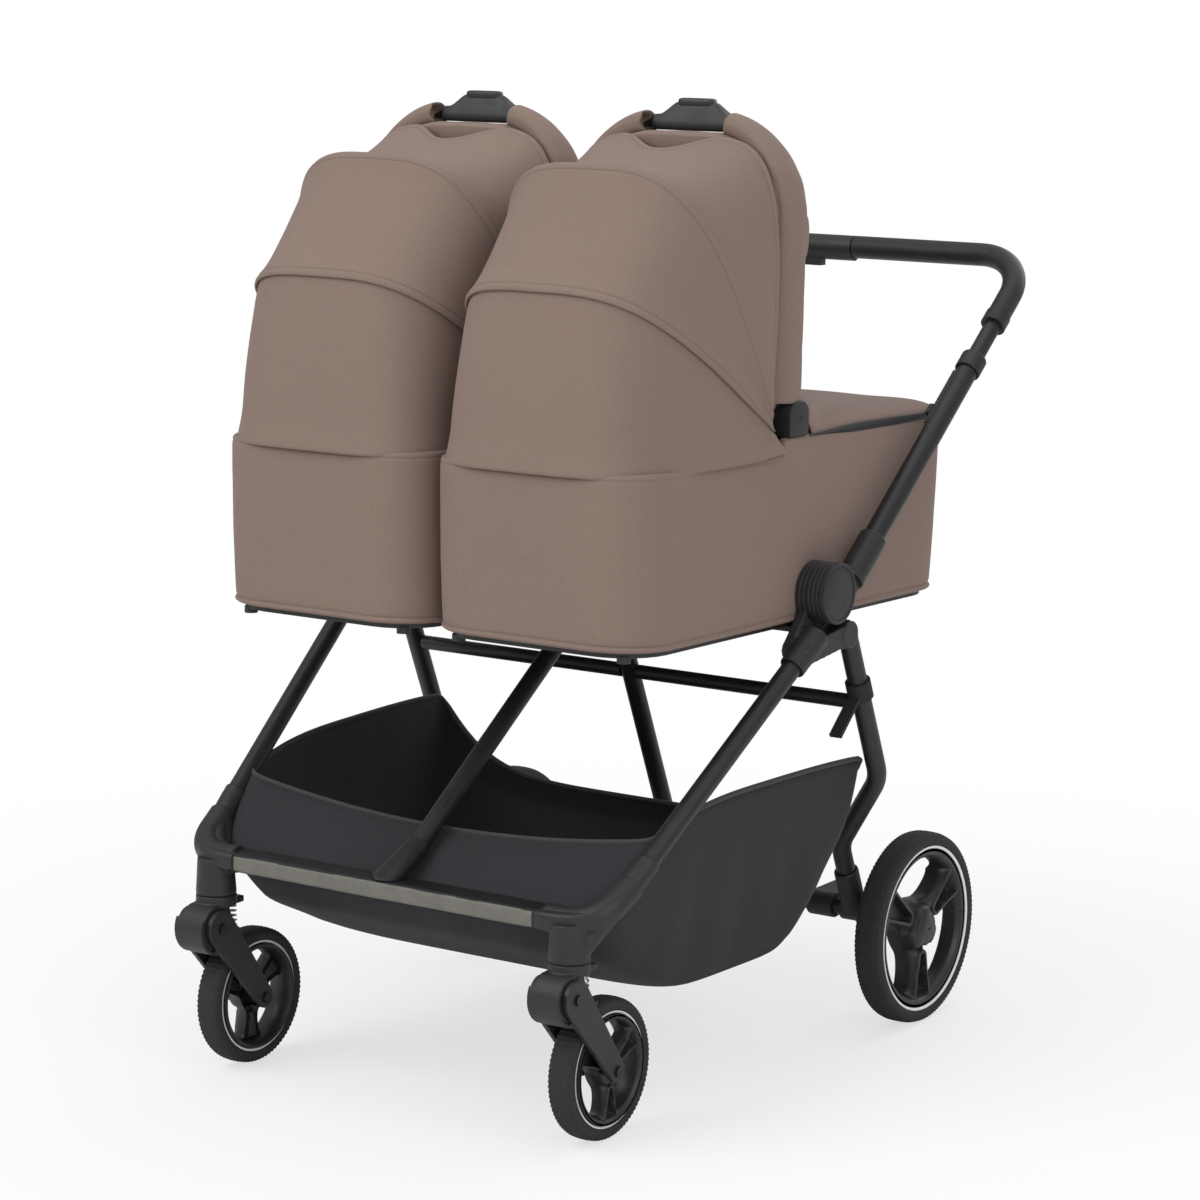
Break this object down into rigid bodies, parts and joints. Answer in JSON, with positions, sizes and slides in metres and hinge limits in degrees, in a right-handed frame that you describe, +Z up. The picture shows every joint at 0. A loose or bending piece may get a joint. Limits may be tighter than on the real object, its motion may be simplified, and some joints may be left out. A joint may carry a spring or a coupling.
{
  "type": "twin pram",
  "caption": "Side-by-side twin pram: folding tube frame with sprung swivel casters, rear wheels, telescopic handle, basket and lift-off carrycots with folding hoods.",
  "frame": {"origin": "on the floor below the middle of the overall box", "axes": "+Z up, -Y to the front (the direction of travel), +X to the right seen from behind the front; the pram is near symmetric about X = 0"},
  "size_m": [0.799, 1.0907, 1.3033],
  "materials": {
    "taupe_fabric": "woven",
    "charcoal_cloth": "woven",
    "black_tube": "satin",
    "black_plastic": "satin moulded",
    "grip_leather": "grained",
    "pad_leather": "grained, stitched",
    "tyre_rubber": "knurled tread",
    "strap_rubber": "matt",
    "spring_steel": "bright",
    "bolt_steel": "dark",
    "mattress_cloth": "knit"
  },
  "bodies": {
    "chassis": {"front_legs": "black_tube", "front_corners": "black_plastic", "front_bar": "black_tube", "front_bar_pad": "pad_leather", "centre_strut_front": "black_tube", "side_hubs": "black_plastic", "centre_hub": "black_plastic", "cot_adaptors": "black_plastic", "basket": "charcoal_cloth"},
    "handle": {"handle_sockets": "black_plastic", "hub_caps": "black_plastic", "handle_tubes": "black_tube", "handle_collars": "black_plastic", "height_rails": "black_plastic"},
    "height_buttons": {"height_buttons": "black_plastic"},
    "handlebar": {"handlebar": "black_tube", "handle_grips": "grip_leather", "release_housing": "black_plastic"},
    "fold_trigger": {"fold_trigger": "black_plastic"},
    "rear_frame": {"rear_legs": "black_tube", "rear_crossbar": "black_tube", "centre_strut_rear": "black_tube", "rear_axle_tube": "black_tube", "axle_brackets": "black_plastic", "lock_strap": "strap_rubber"},
    "brake_pedal": {"brake_pedal": "black_plastic"},
    "rear_wheel_left": {"rear_tyre_left": "tyre_rubber", "rear_rim_left": "black_plastic"},
    "caster_left": {"caster_stem_left": "black_plastic", "caster_spring_left": "spring_steel"},
    "fork_left": {"caster_fork_left": "black_plastic", "caster_bolts_left": "bolt_steel"},
    "front_wheel_left": {"front_tyre_left": "tyre_rubber", "front_rim_left": "black_plastic"},
    "cot_left": {"cot_body_left": "taupe_fabric", "cot_base_left": "black_plastic", "mattress_left": "mattress_cloth", "apron_left": "taupe_fabric", "hinge_blocks_left": "black_plastic", "hood_left": "taupe_fabric"},
    "bow_left": {"carry_handle_left": "black_plastic", "handle_sleeve_left": "taupe_fabric"},
    "grip_button_left": {"grip_button_left": "black_plastic"},
    "rear_wheel_right": {"rear_tyre_right": "tyre_rubber", "rear_rim_right": "black_plastic"},
    "caster_right": {"caster_stem_right": "black_plastic", "caster_spring_right": "spring_steel"},
    "fork_right": {"caster_fork_right": "black_plastic", "caster_bolts_right": "bolt_steel"},
    "front_wheel_right": {"front_tyre_right": "tyre_rubber", "front_rim_right": "black_plastic"},
    "cot_right": {"cot_body_right": "taupe_fabric", "cot_base_right": "black_plastic", "mattress_right": "mattress_cloth", "apron_right": "taupe_fabric", "hinge_blocks_right": "black_plastic", "hood_right": "taupe_fabric"},
    "bow_right": {"carry_handle_right": "black_plastic", "handle_sleeve_right": "taupe_fabric"},
    "grip_button_right": {"grip_button_right": "black_plastic"}
  },
  "joints": [
    {"name": "frame_fold", "type": "hinge", "parent": "chassis", "child": "handle", "pos_m": [0, -0.01557, 0.66], "axis": [1, 0, 0], "range_deg": [0, 45], "deforming": ["basket"]},
    {"name": "rear_fold", "type": "hinge", "parent": "chassis", "child": "rear_frame", "pos_m": [0, 0.01443, 0.6], "axis": [1, 0, 0], "range_deg": [-17.1, 0], "deforming": ["basket"]},
    {"name": "handle_telescope", "type": "slide", "parent": "handle", "child": "handlebar", "axis": [0, 0.7782, 0.628], "range_m": [-0.03, 0.04]},
    {"name": "height_slider", "type": "slide", "parent": "handle", "child": "height_buttons", "axis": [0, 0.7782, 0.628], "range_m": [0, 0.012], "stiffness_N_per_m": 200},
    {"name": "trigger_pull", "type": "slide", "parent": "handlebar", "child": "fold_trigger", "axis": [0, 0, 1], "range_m": [0, 0.005], "stiffness_N_per_m": 300},
    {"name": "brake_press", "type": "hinge", "parent": "rear_frame", "child": "brake_pedal", "pos_m": [0, 0.20443, 0.166], "axis": [1, 0, 0], "range_deg": [-22, 0], "stiffness_Nm_per_rad": 2},
    {"name": "rear_wheel_spin_left", "type": "hinge", "parent": "rear_frame", "child": "rear_wheel_left", "pos_m": [-0.356, 0.26243, 0.1365], "axis": [1, 0, 0], "continuous": true},
    {"name": "caster_swivel_left", "type": "hinge", "parent": "chassis", "child": "caster_left", "pos_m": [-0.2915, -0.48857, 0.25], "axis": [0, 0, 1], "continuous": true},
    {"name": "fork_suspension_left", "type": "hinge", "parent": "caster_left", "child": "fork_left", "pos_m": [-0.2915, -0.51157, 0.209], "axis": [1, 0, 0], "range_deg": [0, 6], "stiffness_Nm_per_rad": 160, "deforming": ["caster_spring_left"]},
    {"name": "front_wheel_spin_left", "type": "hinge", "parent": "fork_left", "child": "front_wheel_left", "pos_m": [-0.2915, -0.42357, 0.094], "axis": [1, 0, 0], "continuous": true},
    {"name": "cot_lift_left", "type": "slide", "parent": "chassis", "child": "cot_left", "axis": [0, 0.0262, 0.9997], "range_m": [0, 0.12]},
    {"name": "hood_fold_left", "type": "hinge", "parent": "cot_left", "child": "bow_left", "pos_m": [-0.1755, -0.04743, 0.89419], "axis": [1, 0, 0], "range_deg": [0, 60], "deforming": ["hood_left"]},
    {"name": "grip_button_press_left", "type": "slide", "parent": "bow_left", "child": "grip_button_left", "axis": [0, -0.0262, -0.9997], "range_m": [0, 0.003], "stiffness_N_per_m": 300},
    {"name": "rear_wheel_spin_right", "type": "hinge", "parent": "rear_frame", "child": "rear_wheel_right", "pos_m": [0.356, 0.26243, 0.1365], "axis": [1, 0, 0], "continuous": true},
    {"name": "caster_swivel_right", "type": "hinge", "parent": "chassis", "child": "caster_right", "pos_m": [0.2915, -0.48857, 0.25], "axis": [0, 0, 1], "continuous": true},
    {"name": "fork_suspension_right", "type": "hinge", "parent": "caster_right", "child": "fork_right", "pos_m": [0.2915, -0.51157, 0.209], "axis": [1, 0, 0], "range_deg": [0, 6], "stiffness_Nm_per_rad": 160, "deforming": ["caster_spring_right"]},
    {"name": "front_wheel_spin_right", "type": "hinge", "parent": "fork_right", "child": "front_wheel_right", "pos_m": [0.2915, -0.42357, 0.094], "axis": [1, 0, 0], "continuous": true},
    {"name": "cot_lift_right", "type": "slide", "parent": "chassis", "child": "cot_right", "axis": [0, 0.0262, 0.9997], "range_m": [0, 0.12]},
    {"name": "hood_fold_right", "type": "hinge", "parent": "cot_right", "child": "bow_right", "pos_m": [0.1755, -0.04743, 0.89419], "axis": [1, 0, 0], "range_deg": [0, 60], "deforming": ["hood_right"]},
    {"name": "grip_button_press_right", "type": "slide", "parent": "bow_right", "child": "grip_button_right", "axis": [0, -0.0262, -0.9997], "range_m": [0, 0.003], "stiffness_N_per_m": 300}
  ],
  "couplings": [
    {"joint": "rear_fold", "follows": "frame_fold", "ratio": -0.38}
  ]
}
